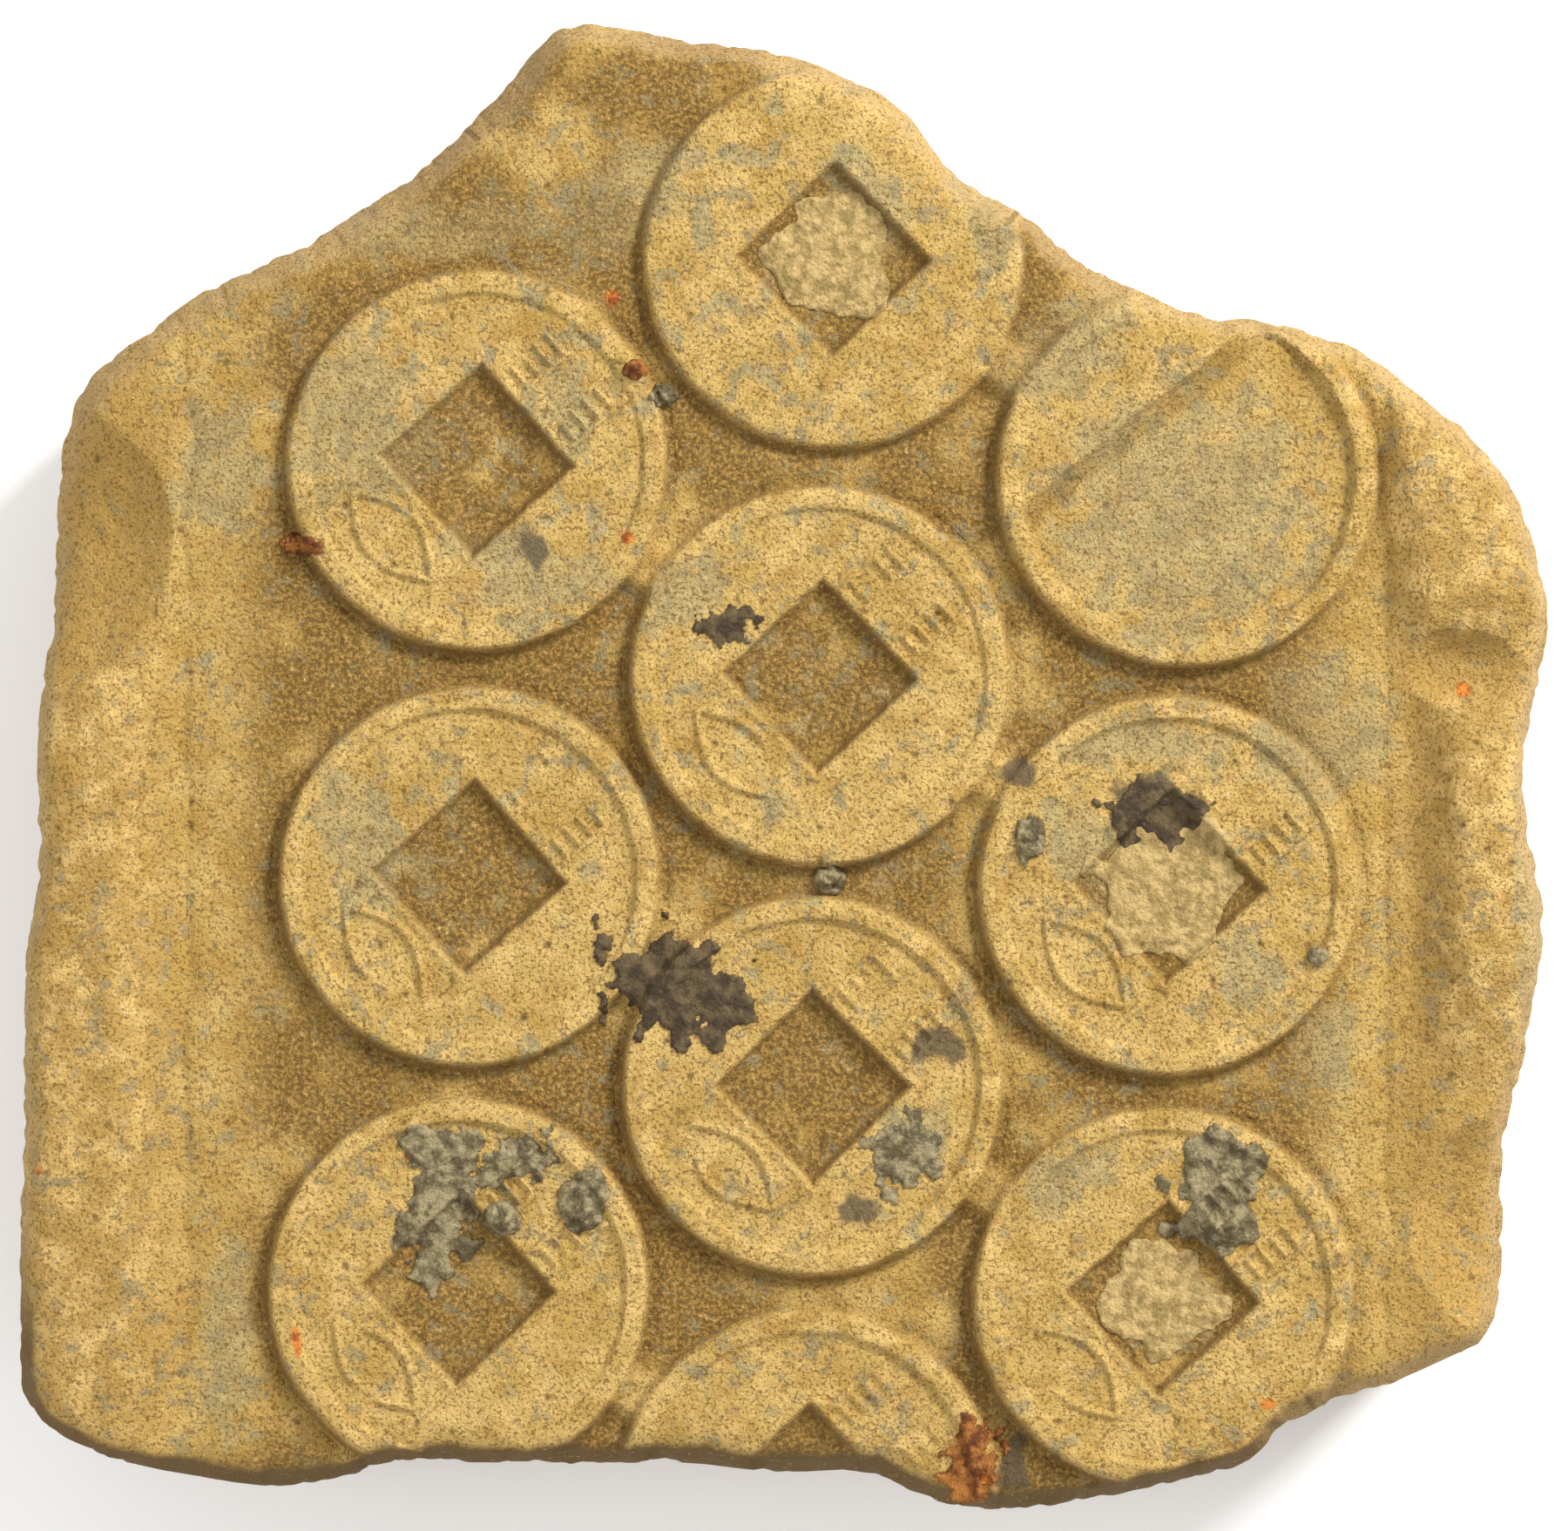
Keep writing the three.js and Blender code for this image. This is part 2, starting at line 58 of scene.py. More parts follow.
# One coin: heights over the panel, and radii
coin_relief = 1.25
field_height = 0.85
rim_inner = 11.2
coin_shoulder = 12.5
coin_foot = 13.02
moat_radius = 13.25
coin_tile = 13.5
hole_half = 4.55

# The flaked coin: the way from its middle to the break, how far the break is, and what it left
flaked_coin = "upper_right"
flake_way = (-11.7, 15.0)
flake_away = 5.2
flake_height = 0.5

# Raised marks beside a hole, measured outwards from its middle and across
oval_out = 7.6
oval_half_length = 4
oval_half_width = 1.9
bar_ends = (5.0, 10.1)
bar_side = 4.55
bar_width = 0.42
ladder_ends = (5.4, 10.2)
ladder_sides = [(-3.6, -1.6), (1.2, 3.4)]
ladder_rungs = [5.9, 7.0, 8.1, 9.2]
ladder_width = 0.38
oval_line = (0.12, 0.36)
rung_width = 0.3
mark_height = 0.26

# Bridges of clay between coins, the groove at the foot of each margin, and how far out sand lies
bridge_start = 12.2
bridge_width = 3.0
bridge_height = 0.8
groove_at = 40.4
groove_reach = 44
groove_depth = 0.22
sand_reach = 38.5

# Centre, turn in degrees, wear of the rim, and how much grey clay shows through its skin
coins = {
    "top": (3.3, 34.1, -1, 0.85, 0.62),
    "upper_left": (-20.7, 20.5, -3, 0.35, 0.62),
    "upper_right": (27.1, 19.4, -3, 0.1, 0.45),
    "centre": (2.4, 6.0, -1.7, 0.3, 0.5),
    "mid_left": (-21.2, -7.5, -3.5, 0.05, 0.5),
    "mid_right": (25.9, -8.1, -2, 0.1, 0.5),
    "lower_centre": (1.9, -21.6, 0, 0.05, 0.45),
    "lower_left": (-21.9, -35.2, -2, 0, 0.25),
    "lower_right": (25.5, -35.8, -3.5, 0, 0.38),
    "bottom": (1.6, -49.4, -1, 0, 0.3),
}
whole_coins = ["upper_left", "centre", "mid_left", "mid_right", "lower_centre", "lower_left",
               "lower_right"]
bridges = [("upper_left", "centre"), ("centre", "mid_right"), ("mid_left", "lower_centre"),
           ("lower_centre", "lower_right"), ("lower_left", "bottom"), ("top", "upper_right")]

# Margins: height along the side, inner foot, crest, height of the crest and of the side
left_margin = np.array([
    (-52.1, 39.6, 45.5, 0.8, 0.2), (-38.1, 40.0, 46.5, 1.2, 0.5), (-27.1, 40.2, 47.0, 1.7, 1.2),
    (-12.0, 40.6, 47.5, 2.0, 1.4), (0.0, 41.0, 47.0, 2.1, 1.0), (5.9, 40.2, 44.5, 1.3, 0.2),
    (9.9, 39.6, 42.0, 0.1, 0.05), (20, 39.6, 42.0, 0.0, 0.0)])
right_margin = np.array([
    (-42.0, 41.6, 46.1, 0.2, 0.05), (-22.0, 41.6, 47.4, 0.7, 0.3), (-13.0, 42.0, 48.2, 2.4, 2.0),
    (-2.0, 42.2, 47.8, 2.4, 1.6), (4.0, 41.6, 47.0, 1.5, 0.8), (8.0, 40.5, 46.1, 0.9, 0.3),
    (11.5, 39.9, 45.6, 1.9, 1.4), (20.0, 39.1, 44.1, 1.8, 1.0), (29.0, 38.1, 42.1, 1.0, 0.4)])
# Worn hollows: centre, height of the centre over the panel, three radii
hollows = [(-53.5, 15.4, 3.4, 14.5, 12, 6.4), (53.1, -31.0, 3.2, 13, 9.5, 6),
           (-34.5, 36.9, 5.4, 12, 9, 6.2), (45.1, 6.5, 3.2, 7, 3.2, 3.6)]
# The worn lip: direction from the middle in degrees, and its width, most of which is worn away
lips = np.array([
    (-180, 0.9), (-150, 0.9), (-137, 1.4), (-100, 1.6), (-60, 1.6), (-45, 1.4), (-36, 1.3), (-20, 1.1),
    (15, 1.1), (30, 1.4), (70, 1.4), (95, 1.5), (110, 2.0), (125, 2.2), (150, 2.1), (160, 1.0), (180, 0.9)])
lip_share = 0.72
# The rounding of the top edge: how deep, and how far in it fades
edge_wear = 0.9
edge_fade = 0.55
# The facing's broken side: share of the lip that it stands out by, share of its height down from the top
side_profile = [(0.3, 0.07), (0.6, 0.17), (0.85, 0.3), (0.95, 0.45), (0.9, 0.6), (0.75, 0.8), (0.55, 1.0)]

# Smooth grey patches of the fine clay: centre, half lengths, turn
grey_patches = [
    (-11, 38, 6, 3, 35), (-30, 24, 3, 6, -20), (-28, 22, 4.5, 5, 40), (-16, 12, 5, 1.6, 10),
    (27, 17, 8.5, 8.5, 0), (36, 2.5, 5, 5, 0), (36.5, -19, 2.6, 4, 0), (50, -8, 1.3, 9, 0),
    (25, -7, 4.5, 4.5, 45), (9, -25, 2.6, 2.8, 20), (-37.5, -39, 1.8, 7, 0), (19, 28, 3, 5, -45),
    (-28, -5, 3, 5, 30), (5, 37, 3.5, 3.5, 0), (-22, 36, 7, 2, 8), (14, 36, 1.6, 3, 20),
    (-14.5, 24, 1.6, 4, 0), (-18, 14, 6, 1.5, -12), (-6, 12, 4, 2, 35), (20, -5, 2, 4, 20),
    (-38, 20, 3, 5, 0), (24, 1.5, 6, 1.5, 0), (31, -14, 2, 3, 20), (19, -28, 4, 2, 30)]
# Stains: centre, half lengths, turn
rust_stains = [(13, -46.5, 1.3, 2.6, 0), (-32.8, -38.8, 0.5, 1, 0), (-50.2, -27.3, 0.7, 0.5, 0),
               (-11.5, 31.5, 0.5, 0.6, 0), (45.7, 5.2, 0.5, 0.5, 0), (32.6, -43, 0.6, 0.4, 0),
               (-24, -26, 2.4, 0.3, 8), (-10.5, 15.2, 0.5, 0.5, 0), (5.5, 36.5, 0.4, 0.6, 0)]
soot_stains = [(15.2, -48, 1.3, 2.6, 0), (24.6, -3, 2.6, 2.4, 0), (-17, 14.8, 1, 2, 20),
               (5, -30, 1.4, 1, 0), (10.5, -19, 1.8, 1, 0), (16, -0.5, 1.2, 1, 0)]

# What stuck to the face: centre, half lengths, turn, height, and how ragged its edge is
residues = {
    "soot_smear": (-6.8, -15.4, 5.0, 3.0, -25, 0.3, 0.75),
    "soot_patch_mid_right": (24.8, -3.4, 2.9, 2.5, 10, 0.2, 0.7),
    "soot_smear_centre": (-3.8, 9.5, 1.9, 1.1, 10, 0.15, 0.5),
    "slag_skin_lower_left": (-23.2, -30.7, 2.5, 3.6, -15, 0.3, 0.55),
    "slag_ring_lower_left": (-22.9, -25.9, 2.5, 2.0, -10, 0.45, 0.4),
    "slag_wisp_lower_left": (-18.1, -26.6, 2.7, 1.5, 25, 0.22, 0.7),
    "slag_bead_lower_left": (-19.0, -30.5, 1.3, 1.25, 0, 0.9, 0.15),
    "slag_blister_lower_left": (-13.4, -29.2, 1.6, 2.2, -15, 0.8, 0.2),
    "slag_skin_lower_centre": (7.9, -25.9, 2.3, 2.7, -20, 0.2, 0.6),
    "slag_skin_lower_right": (29.1, -28.3, 2.7, 4.0, -15, 0.3, 0.55),
    "slag_lump_lower_right": (30.0, -31.0, 2.0, 1.6, 10, 0.7, 0.2),
    "slag_lump_mid_right": (16.5, -4.9, 1.1, 1.6, -15, 0.5, 0.35),
    "slag_bead_mid_right": (35.9, -12.8, 0.7, 0.65, 0, 0.6, 0.15),
    "slag_bead_centre": (3.1, -7.7, 1.1, 1.0, 0, 1.1, 0.15),
    "slag_grain_upper_left": (-8.1, 24.9, 0.9, 0.8, 0, 0.8, 0.2),
    "rust_grain_upper_left": (-10.0, 26.6, 0.85, 0.7, 0, 0.7, 0.2),
    "rust_grain_left": (-32.5, 14.8, 1.4, 0.7, -10, 0.7, 0.3),
    "rust_bloom": (12.6, -46.6, 1.6, 2.8, -8, 0.22, 0.7),
    "earth_plug_top": (3.3, 34.1, 4.3, 4.1, 0, 0.3, 0.25),
    "earth_plug_mid_right": (25.9, -8.1, 4.9, 4.7, 0, 0.28, 0.3),
    "earth_plug_lower_right": (25.3, -35.9, 4.1, 3.6, 20, 0.25, 0.3),
}

# Unevenness of the clay: size of the lumps, seed, and how many finer layers lie on each other
unevenness = {
    "swell": (14, 1, 3),
    "ripple": (4, 5, 3),
    "hollow": (3, 15, 3),
    "margin_line": (5, 31, 3),
    "groove_line": (6, 33, 3),
    "coin_edge": (3, 41, 3),
    "rim_wear": (9, 43, 3),
    "mark_wear": (5, 47, 3),
    "coin_skin": (3, 49, 3),
    "flake_edge": (4, 53, 3),
    "flake_floor": (5, 55, 3),
    "hole_edge": (1.6, 57, 3),
    "hole_floor": (2.5, 59, 3),
    "sand_spread": (7, 61, 3),
    "hole_sand": (3.5, 63, 3),
    "margin_colour": (5, 65, 3),
    "grey_blotch": (2.4, 67, 4),
    "patch_edge": (2.2, 71, 3),
    "fine_grain": (0.42, 81, 1),
    "coarse_grain": (0.9, 83, 1),
    "pits": (0.8, 85, 1),
    "lip": (3.5, 91, 3),
    "side_chips": (3.4, 95, 3),
    "backing_chips": (7, 201, 4),
    "backing_grain": (0.9, 207, 3),
    "floor_wear": (6, 211, 3),
    "floor_grain": (1.2, 213, 3),
}
noise_cells = 64
first_residue_seed = 100

# A crust's root in the face, and its thickness at its ragged edge
crust_root = 0.12
crust_edge = 0.05
crust_least = 0.04
# The backing's deepest chip, and the deepest wear of its underside
deepest_chip = 1.4
deepest_wear = 0.3


def gradient_noise(x, y, size, seed):
    """Smooth noise, about -1 to 1, whose lumps are about size across."""
    angle = np.random.default_rng(seed).random((noise_cells, noise_cells)) * 2 * np.pi
    u = x / size + 0.37 * seed
    v = y / size - 0.71 * seed
    i = np.floor(u).astype(int)
    j = np.floor(v).astype(int)
    f = u - i
    g = v - j
    a = f * f * f * (f * (f * 6 - 15) + 10)
    b = g * g * g * (g * (g * 6 - 15) + 10)

    def corner(di, dj):
        turn = angle[(i + di) % noise_cells, (j + dj) % noise_cells]
        return np.cos(turn) * (f - di) + np.sin(turn) * (g - dj)

    low = corner(0, 0) * (1 - a) + corner(1, 0) * a
    high = corner(0, 1) * (1 - a) + corner(1, 1) * a
    return 1.5 * (low * (1 - b) + high * b)


def rough(x, y, size, seed, layers=3):
    """Noise with finer and weaker noise on it, each layer turned against the last."""
    total = 0
    for k in range(layers):
        c, s = np.cos(0.7 * k), np.sin(0.7 * k)
        total = total + 0.5 ** k * gradient_noise(x * c - y * s, x * s + y * c, size / 2 ** k, seed + k)
    return total


def uneven(x, y, name):
    """One of the named kinds of unevenness, at points of the plane."""
    return rough(x, y, *unevenness[name])


def ease(value, low, high):
    """0 at low, 1 at high, and smooth between them."""
    t = np.clip((value - low) / (high - low), 0, 1)
    return t * t * (3 - 2 * t)


def ridge(value, centre, width):
    """1 on a line and falling off like a bell on both sides."""
    return np.exp(-((value - centre) / width) ** 2)


def spot(x, y, place):
    """1 in the middle of an oval patch, 0 at its edge, negative outside."""
    cx, cy, rx, ry, turn = place
    c, s = np.cos(np.radians(turn)), np.sin(np.radians(turn))
    u = (x - cx) * c + (y - cy) * s
    v = -(x - cx) * s + (y - cy) * c
    return 1 - np.hypot(u / rx, v / ry)


def spots(x, y, places, rag):
    """How far inside any of several ragged patches a point is, 0 to 1."""
    best = np.full_like(x, -9.0)
    for place in places:
        best = np.maximum(best, spot(x, y, place))
    return ease(best + rag * uneven(x, y, "patch_edge"), -0.12, 0.28)


def stroke(u, v, start, end, width):
    """1 along a straight stroke, easing to 0 past half its width."""
    along = np.subtract(end, start)
    t = np.clip(((u - start[0]) * along[0] + (v - start[1]) * along[1]) / (along @ along), 0, 1)
    away = np.hypot(u - start[0] - t * along[0], v - start[1] - t * along[1])
    return 1 - ease(away, width * 0.3, width * 0.75)


def coin_marks(u, v):
    """Plain raised ornament either side of the hole: a pointed oval between two bars, and a ladder.
    u runs out from the hole, to the lower left for the oval and to the upper right for the ladder."""
    bow = oval_half_width * np.cos(np.clip(v / oval_half_length, -1, 1) * np.pi / 2)
    oval = np.abs(np.abs(-u - oval_out) - bow)
    marks = (1 - ease(oval, *oval_line)) * (np.abs(v) < oval_half_length) * (u < 0)
    for side in (-bar_side, bar_side):
        bar = stroke(u, v, (-bar_ends[0], side), (-bar_ends[1], side), bar_width)
        marks = np.maximum(marks, bar)
    for sides in ladder_sides:
        for side in sides:
            post = stroke(u, v, (ladder_ends[0], side), (ladder_ends[1], side), ladder_width)
            marks = np.maximum(marks, post)
        for out in ladder_rungs:
            marks = np.maximum(marks, stroke(u, v, (out, sides[0]), (out, sides[1]), rung_width))
    return marks


def margin_height(x, y, rows, outward):
    """Height of a raised margin: a slope up from its foot to its crest, and a long fall to the side."""
    foot, crest, height, side = (np.interp(y, rows[:, 0], rows[:, k]) for k in range(1, 5))
    out = x * outward + 0.35 * uneven(x, y, "margin_line")
    rise = height * ease(out, foot, crest - 1.5)
    fall = ease(out, crest + 0.6, crest + 7)
    return np.where(out < crest, rise, height * (1 - fall) + side * fall)


def panel_surface(x, y):
    """Height of the clay round the coins: margins, worn hollows, and a groove at each margin's foot."""
    relief = 0.1 * uneven(x, y, "swell") + 0.05 * uneven(x, y, "ripple")
    relief = relief + margin_height(x, y, left_margin, -1) + margin_height(x, y, right_margin, 1)
    for cx, cy, over, rx, ry, rz in hollows:
        within = np.clip(1 - ((x - cx) / rx) ** 2 - ((y - cy) / ry) ** 2, 0, 1)
        bowl = over - rz * np.sqrt(within) + 0.18 * uneven(x, y, "hollow")
        relief = np.where(within > 0, np.minimum(relief, bowl), relief)
    off_groove = np.abs(x) - groove_at + 0.5 * uneven(x, y, "groove_line")
    return relief - groove_depth * ridge(off_groove, 0, 0.5) * (np.abs(y) < groove_reach)


def bridge(x, y, first, second):
    """1 along the bar of clay that joins two coins."""
    a, b = np.array(coins[first][:2]), np.array(coins[second][:2])
    along = (b - a) / np.linalg.norm(b - a)
    return stroke(x, y, a + along * bridge_start, b - along * bridge_start, bridge_width)


def flaked_top(x, y, dx, dy, r, on_field, top):
    """A coin's top, sunk on one side of a slanting break, and the painted shade in the trough at the break.
    """
    past = (dx * flake_way[0] + dy * flake_way[1]) / np.hypot(*flake_way) - flake_away
    ragged = past + 0.25 * uneven(x, y, "flake_edge")
    flake = (1 - ease(ragged, -0.3, 0.25)) * on_field
    trough = ridge(ragged, -0.9, 0.5) * (r < rim_inner)
    sunk = flake_height + 0.05 * uneven(x, y, "flake_floor")
    top = top * (1 - flake) + sunk * flake
    return top + 0.4 * ridge(ragged, 0.35, 0.4) - 0.4 * trough, 0.5 * trough


def holed_top(x, y, u, v, r, top):
    """A coin's top with its square hole, how open the hole is, and the painted shade at the foot of its
    sides.
    The hole has a raised lip and a sandy floor, and the painted shade is strongest on the sides to the
    right, which face away from the light."""
    square = np.maximum(np.abs(u), np.abs(v)) + 0.07 * uneven(x, y, "hole_edge")
    opened = 1 - ease(square, hole_half - 0.2, hole_half + 0.22)
    lipped = top + 0.12 * ridge(square, hole_half + 0.4, 0.3)
    sand = 0.02 + 0.1 * uneven(x, y, "hole_floor") + 0.25 * ease(r, 2, 7)
    right_side = np.maximum(u, -v) > np.abs(np.minimum(u, -v))
    dark = ridge(square, hole_half - 0.1, 0.28) * (0.35 + 0.65 * right_side) * (r < 8)
    return lipped * (1 - opened) + sand * opened, opened, dark


def coin_surface(x, y, name):
    """One coin: its top's height, how far a point is on it, how open its hole is, the depth of the
    moat of missing clay at its foot, which is deepest to the lower left, the painted shade at its foot,
    strongest to the lower left away from the light, and in its hole or trough, and whether a point is
    near the coin at all."""
    cx, cy, turn, wear = coins[name][:4]
    dx, dy = x - cx, y - cy
    r = np.hypot(dx, dy) + 0.07 * uneven(x, y, "coin_edge")
    on = 1 - ease(r, coin_shoulder, coin_foot)
    rim = ease(r, rim_inner - 0.15, rim_inner + 0.2)
    worn = np.clip(wear + 0.3 * uneven(x, y, "rim_wear"), 0, 1)
    rounded = 0.05 * rim * ease(r, 12, 12.7)
    top = field_height + (coin_relief - field_height) * rim * (1 - worn) - rounded
    turned = np.radians(45 + turn)
    u = dx * np.cos(turned) + dy * np.sin(turned)
    v = -dx * np.sin(turned) + dy * np.cos(turned)
    marks = coin_marks(u, v) * (1 - rim) * ease(worn, 0.9, 0.3)
    top = top + mark_height * marks * ease(uneven(x, y, "mark_wear") + 0.7, 0, 0.5)
    top = top + 0.04 * uneven(x, y, "coin_skin")
    if name == flaked_coin:
        opened = 0
        top, dark = flaked_top(x, y, dx, dy, r, 1 - rim, top)
    else:
        top, opened, dark = holed_top(x, y, u, v, r, top)
    leeward = ease(-(dx + dy) / np.maximum(r, 1), -0.4, 1.2)
    moat = (0.1 + 0.12 * leeward) * ridge(r, moat_radius, 0.32)
    # Painted shade at the coin's foot, strongest to the lower left, away from the light
    foot = ridge(r, 13.08, 0.2) * (0.3 + 0.7 * leeward)
    return top, on, opened, moat, np.maximum(foot, dark), r < coin_tile + 2


def face(x, y):
    """Height of the face over the panel, and the shares of its finishes, at points of the plane."""
    relief = panel_surface(x, y)
    low = np.ones_like(x)
    grey = np.full_like(x, 0.3)
    hole = np.zeros_like(x)
    shade_mask = np.zeros_like(x)
    for first, second in bridges:
        bar = bridge(x, y, first, second)
        relief = np.maximum(relief, relief + (bridge_height - relief) * bar)
        low = low * (1 - 0.6 * bar)
    for name in coins:
        top, on, opened, moat, painted_shade, near = coin_surface(x, y, name)
        joined = relief * (1 - on) + np.maximum(top, relief * 0.4) * on
        relief = np.where(near, joined, relief) - moat
        # Painted shade at the coins' feet, on the sides of their holes, and in the flaked coin's trough
        shade_mask = np.maximum(shade_mask, painted_shade)
        low = np.where(near, low * (1 - on * (1 - opened)), low)
        grey = np.where(on > 0.5, coins[name][4], grey)
        hole = np.maximum(hole, on * opened)

    # Sand lies between the coins and in the holes, and thins out towards the margins
    sandy = low * ease(sand_reach - np.abs(x), 0, 5) * ease(uneven(x, y, "sand_spread") + 0.75, 0, 0.9)
    sandy = np.maximum(sandy, hole * ease(uneven(x, y, "hole_sand") + 0.7, 0, 0.8))
    margin = ease(np.abs(x) + 1.2 * uneven(x, y, "margin_colour"), 40, 42.5) * (1 - 0.5 * ease(y, 20, 30))
    patches = spots(x, y, grey_patches, 0.45)
    blotch = ease(uneven(x, y, "grey_blotch") + grey * 0.9 - 0.95, -0.05, 0.2) * (1 - 0.7 * margin)
    grey_share = np.clip(np.maximum(patches * 0.8, blotch), 0, 1) * (1 - 0.5 * sandy)
    grain = 0.05 * uneven(x, y, "fine_grain") + 0.035 * uneven(x, y, "coarse_grain")
    pits = ease(uneven(x, y, "pits"), 0.55, 0.85)
    relief = relief + grain * (0.45 + 1.2 * sandy) * (1 - 0.6 * patches) - 0.12 * pits - 0.05 * grey_share
    # Among these masks, the one for the coins' feet, holes and trough is painted shade
    masks = {"sandy": sandy, "grey": grey_share, "margin": margin, "pit": pits, "shade_mask": shade_mask,
             "rust": spots(x, y, rust_stains, 0.5), "soot": spots(x, y, soot_stains, 0.6),
             "raised": np.clip(relief / coin_relief, 0, 1)}
    return relief, masks


def broken_outline():
    """The ring of points round the top of the backing, in order round its middle."""
    points = np.array([v.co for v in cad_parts["clay_backing"].data.vertices]) / MM
    ring = points[np.abs(points[:, 2] - backing_height) < 0.05][:, :2]
    ring = np.unique(np.round(ring, 4), axis=0)
    ring = ring[np.hypot(ring[:, 0], ring[:, 1]) > 20]
    return ring[np.argsort(np.arctan2(ring[:, 1], ring[:, 0]))]


raster_cell = 0.5
raster_reach = 54
raster_axis = np.arange(-raster_reach, raster_reach + raster_cell, raster_cell)


def outline_raster(outline):
    """A raster of how far inside the outline each place is."""
    gx, gy = np.meshgrid(raster_axis, raster_axis, indexing="ij")
    x, y = gx.ravel(), gy.ravel()
    nearest = np.full(x.shape, 1e9)
    crossings = np.zeros(x.shape, int)
    for (ax, ay), (bx, by) in zip(outline, np.roll(outline, -1, axis=0)):
        ex, ey = bx - ax, by - ay
        t = np.clip(((x - ax) * ex + (y - ay) * ey) / (ex * ex + ey * ey), 0, 1)
        nearest = np.minimum(nearest, np.hypot(x - ax - t * ex, y - ay - t * ey))
        spans = (ay > y) != (by > y)
        crossings += spans & (x < ax + (y - ay) * ex / (ey if ey else 1e-9))
    return np.where(crossings % 2 == 1, nearest, -nearest).reshape(gx.shape)


inside_map = outline_raster(broken_outline())


def inside(x, y):
    """How far inside the outline a point is."""
    u = np.clip((x + raster_reach) / raster_cell, 0, len(raster_axis) - 1.001)
    v = np.clip((y + raster_reach) / raster_cell, 0, len(raster_axis) - 1.001)
    i, j = u.astype(int), v.astype(int)
    f, g = u - i, v - j
    low = inside_map[i, j] * (1 - f) + inside_map[i + 1, j] * f
    high = inside_map[i, j + 1] * (1 - f) + inside_map[i + 1, j + 1] * f
    return low * (1 - g) + high * g


def lip(x, y):
    """How far the top edge lies inside the outline."""
    turn = np.degrees(np.arctan2(y, x))
    return lip_share * np.interp(turn, lips[:, 0], lips[:, 1]) + 0.3 * uneven(x, y, "lip")


def slope_of(field, x, y):
    """The direction in which a field of the plane grows, as a unit vector."""
    step = 0.3
    gx = field(x + step, y) - field(x - step, y)
    gy = field(x, y + step) - field(x, y - step)
    size = np.maximum(np.hypot(gx, gy), 1e-6)
    return gx / size, gy / size


def points_of(piece):
    """A piece's vertices in millimetres."""
    flat = np.empty(len(piece.data.vertices) * 3)
    piece.data.vertices.foreach_get("co", flat)
    return flat.reshape(-1, 3) / MM


def place_points(piece, points):
    piece.data.vertices.foreach_set("co", (points * MM).ravel())
    piece.data.update()


def chosen_points(piece):
    """A mask of the vertices that are selected."""
    mask = np.empty(len(piece.data.vertices), bool)
    piece.data.vertices.foreach_get("select", mask)
    return mask


def choose_open_edge():
    """In edit mode, selects just the edges that have one face."""
    bpy.ops.mesh.select_mode(type="EDGE")
    bpy.ops.mesh.select_all(action="DESELECT")
    bpy.ops.mesh.select_non_manifold(
        extend=False, use_wire=False, use_multi_face=False, use_non_contiguous=False, use_verts=False)


def turn_faces_out():
    """Points the active piece's faces outwards."""
    bpy.ops.object.mode_set(mode="EDIT")
    bpy.ops.mesh.select_all(action="SELECT")
    bpy.ops.mesh.normals_make_consistent(inside=False)
    bpy.ops.object.mode_set(mode="OBJECT")


def write_masks(piece, masks):
    for name, values in masks.items():
        layer = piece.data.attributes.new(name, "FLOAT", "POINT")
        layer.data.foreach_set("value", values.astype(np.float32))


def new_grid(name, x_range, y_range, cell, turn=0.0):
    """A flat grid of square cells over a rectangle, which is turned about its middle."""
    width, depth = x_range[1] - x_range[0], y_range[1] - y_range[0]
    bpy.ops.object.select_all(action="DESELECT")
    bpy.ops.mesh.primitive_grid_add(
        x_subdivisions=int(width / cell), y_subdivisions=int(depth / cell), size=2, location=(0, 0, 0))
    piece = bpy.context.object
    piece.name = name
    points = points_of(piece) * MM
    flat_x, flat_y = points[:, 0] * width / 2, points[:, 1] * depth / 2
    c, s = np.cos(turn), np.sin(turn)
    points[:, 0] = flat_x * c - flat_y * s + sum(x_range) / 2
    points[:, 1] = flat_x * s + flat_y * c + sum(y_range) / 2
    place_points(piece, points)
    return piece


def trim(piece, beyond):
    """Deletes the cells beyond a region's edge, draws the new edge onto it, and gives its vertices."""
    data = piece.data
    centres = np.empty(len(data.polygons) * 3)
    data.polygons.foreach_get("center", centres)
    centres = centres.reshape(-1, 3) / MM
    for group in (data.vertices, data.edges):
        group.foreach_set("select", np.zeros(len(group), bool))
    data.polygons.foreach_set("select", beyond(centres[:, 0], centres[:, 1]) > 0)
    bpy.context.tool_settings.mesh_select_mode = (False, False, True)
    bpy.ops.object.mode_set(mode="EDIT")
    bpy.ops.mesh.delete(type="FACE")
    choose_open_edge()
    bpy.ops.object.mode_set(mode="OBJECT")
    edge = chosen_points(piece)
    points = points_of(piece)
    furthest = 0.12
    for _ in range(2):
        x, y = points[edge, 0], points[edge, 1]
        over = np.clip(beyond(x, y), -furthest, furthest)
        gx, gy = slope_of(beyond, x, y)
        points[edge, 0] -= over * gx
        points[edge, 1] -= over * gy
    place_points(piece, points)
    return edge


def match_order(found, known):
    """For each found point, the index of the known point at the same place."""
    keys = {(round(a, 3), round(b, 3)): k for k, (a, b) in enumerate(known)}
    order = np.zeros(len(found), int)
    for n, (a, b) in enumerate(found):
        key = (round(a, 3), round(b, 3))
        order[n] = keys[key] if key in keys else np.argmin(np.hypot(known[:, 0] - a, known[:, 1] - b))
    return order


